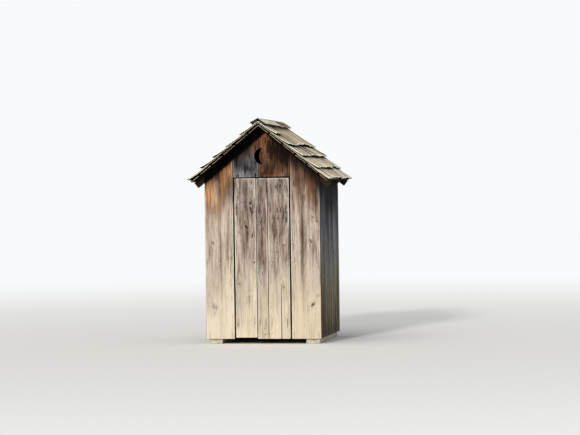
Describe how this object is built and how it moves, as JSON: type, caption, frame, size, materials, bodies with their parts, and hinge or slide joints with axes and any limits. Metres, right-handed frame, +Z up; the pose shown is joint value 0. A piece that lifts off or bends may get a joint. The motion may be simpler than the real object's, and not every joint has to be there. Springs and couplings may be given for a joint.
{
  "type": "wooden outhouse",
  "caption": "Small weathered plank outhouse on skids with a gable roof of wooden shakes, a crescent vent and a hinged plank door.",
  "frame": {"origin": "centre of the roof's outline on the ground, under the middle of the roof", "axes": "+X to the right as seen from the front, -Y towards the front with the door, +Z up"},
  "size_m": [1.5584, 1.47, 2.3515],
  "materials": {
    "skid_wood": "rough, weathered",
    "frame_wood": "rough sawn, aged brown",
    "floor_wood": "worn, dusty",
    "deck_wood": "rough sawn, aged brown",
    "shake_wood": "rough, weathered khaki tan",
    "front_wood": "weathered, cream below and orange brown under the eaves",
    "wall_wood": "weathered grey",
    "door_wood": "weathered pinkish grey",
    "rusty_iron": "rusted"
  },
  "bodies": {
    "house": {"left_skid": "skid_wood", "right_skid": "skid_wood", "floor_joists": "frame_wood", "floor_boards": "floor_wood", "corner_posts": "frame_wood", "door_studs": "frame_wood", "wall_girts": "frame_wood", "left_plate": "frame_wood", "right_plate": "frame_wood", "door_header": "frame_wood", "back_header": "frame_wood", "left_rafters": "frame_wood", "right_rafters": "frame_wood", "left_roof_boards": "deck_wood", "right_roof_boards": "deck_wood", "left_starter_course": "shake_wood", "left_course_1": "shake_wood", "left_course_2": "shake_wood", "left_course_3": "shake_wood", "left_course_4": "shake_wood", "left_course_5": "shake_wood", "right_starter_course": "shake_wood", "right_course_1": "shake_wood", "right_course_2": "shake_wood", "right_course_3": "shake_wood", "right_course_4": "shake_wood", "right_course_5": "shake_wood", "left_ridge_board": "shake_wood", "right_ridge_board_front": "shake_wood", "right_ridge_board_back": "shake_wood", "front_board_left": "front_wood", "front_board_right": "front_wood", "gable_board_left": "front_wood", "gable_board_right": "front_wood", "left_wall_boards": "wall_wood", "right_wall_boards": "wall_wood", "back_wall_boards": "wall_wood", "hinge_frame_leaves": "rusty_iron", "hinge_pins": "rusty_iron"},
    "door": {"door_board_left": "door_wood", "door_board_middle": "door_wood", "door_board_right": "door_wood", "door_battens": "frame_wood", "hinge_door_leaves": "rusty_iron"}
  },
  "joints": [
    {"name": "door_hinge", "type": "hinge", "parent": "house", "child": "door", "pos_m": [-0.301, -0.5625, 0.83], "axis": [0, 0, -1], "range_deg": [0, 150]}
  ]
}
